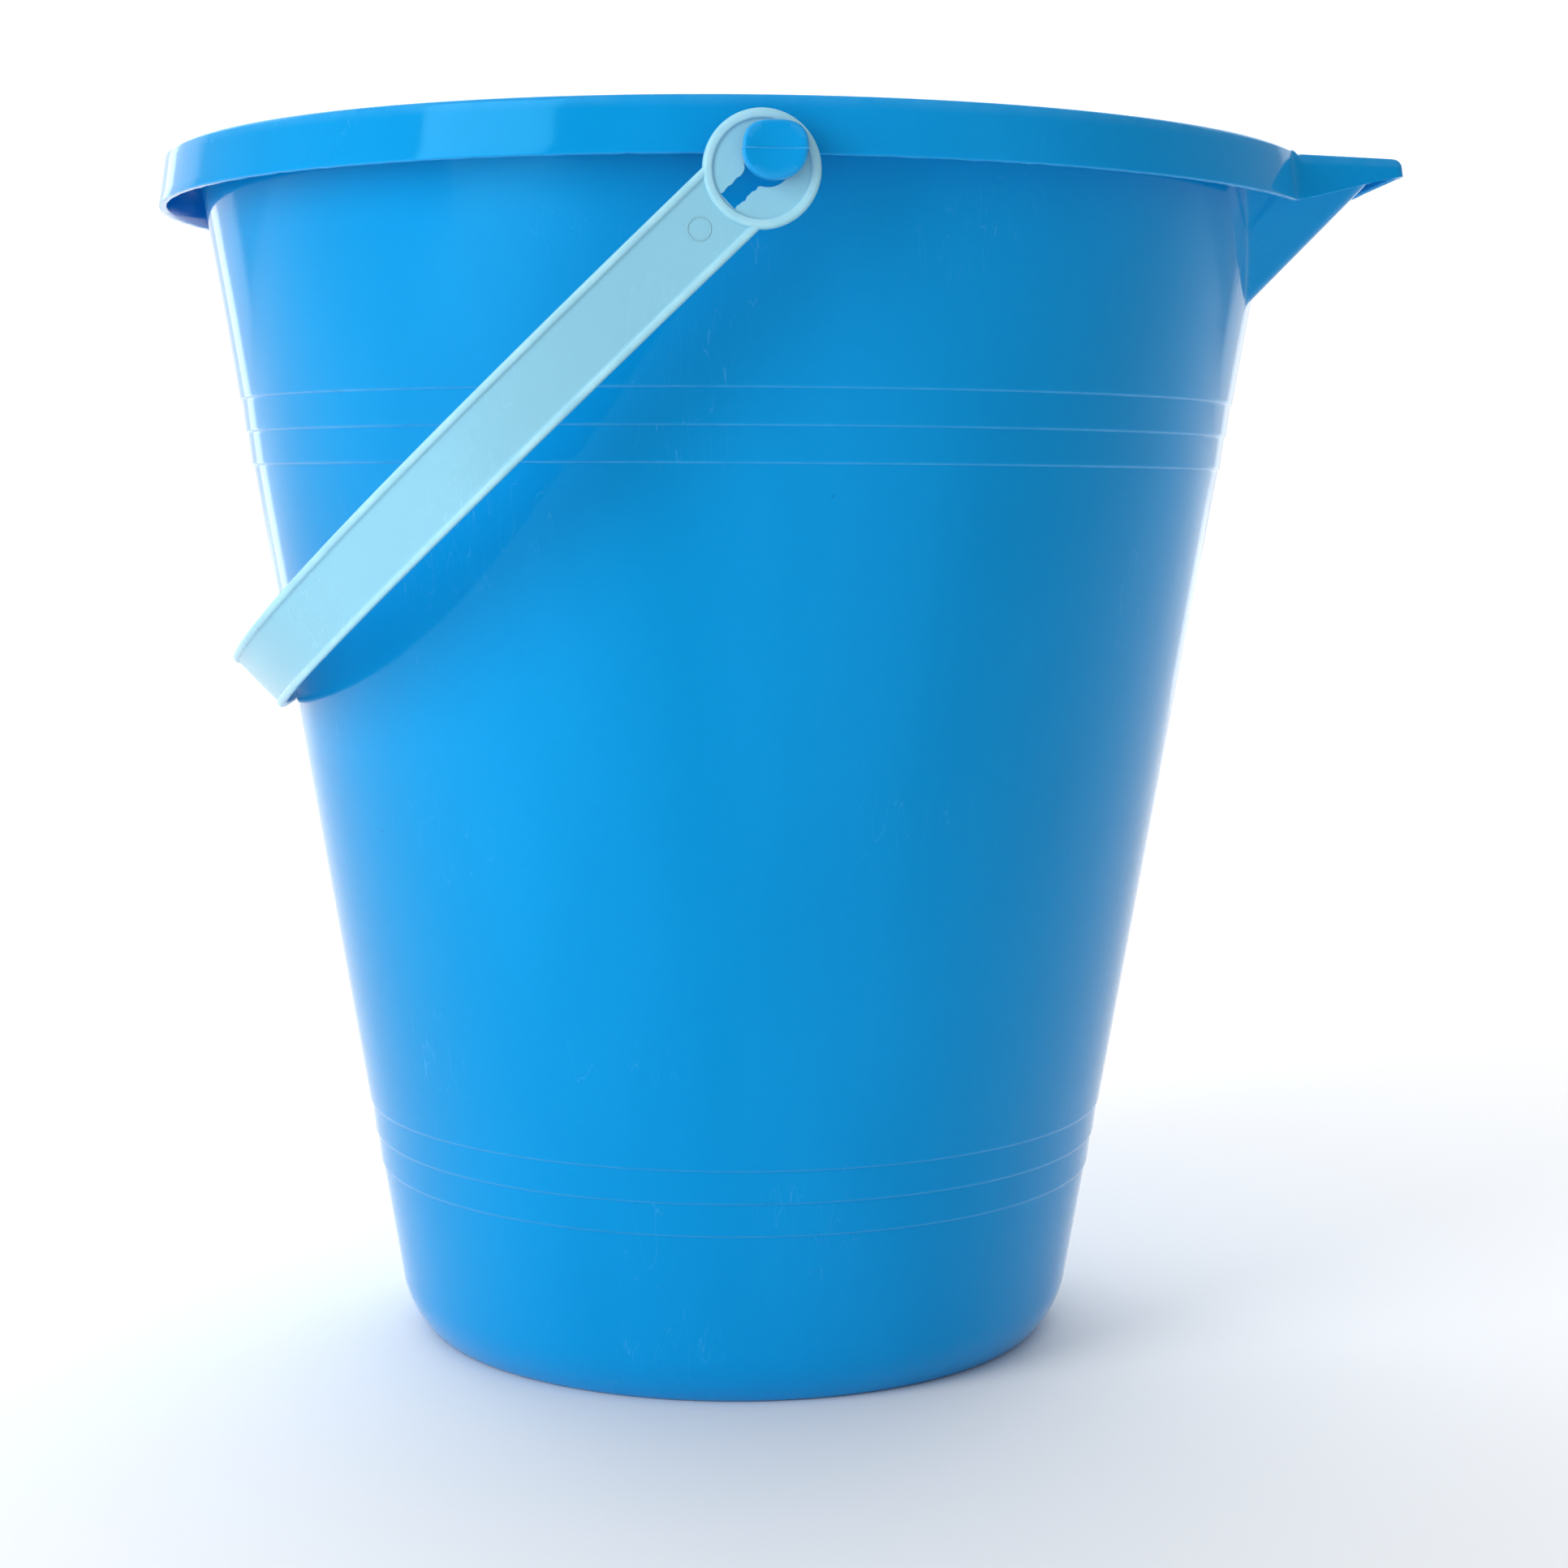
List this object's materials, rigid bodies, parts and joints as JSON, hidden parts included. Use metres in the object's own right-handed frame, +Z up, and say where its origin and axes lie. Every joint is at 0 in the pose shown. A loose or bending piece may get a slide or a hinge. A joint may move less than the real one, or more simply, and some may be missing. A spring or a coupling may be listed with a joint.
{
  "type": "sand bucket",
  "caption": "Toy sand bucket: a tapered round plastic shell with a turned-down rim, a V-shaped pouring spout and a swinging strap handle on moulded pegs.",
  "frame": {"origin": "middle of the base's flat underside, on the ground", "axes": "+Z up; Y through the two handle pegs; the handle hangs towards -X; the spout points 20 degrees from +X towards -Y"},
  "size_m": [0.2528, 0.2598, 0.2484],
  "materials": {
    "bucket_plastic": "glossy injection-moulded polypropylene, solid mid blue",
    "handle_plastic": "semi-gloss injection-moulded polypropylene, pale aqua blue"
  },
  "bodies": {
    "bucket_body": {"bucket": "bucket_plastic"},
    "handle_body": {"handle": "handle_plastic"}
  },
  "joints": [
    {"name": "handle_swing", "type": "hinge", "parent": "bucket_body", "child": "handle_body", "pos_m": [0, 0, 0.2381], "axis": [0, 1, 0], "range_deg": [0, 267]}
  ]
}
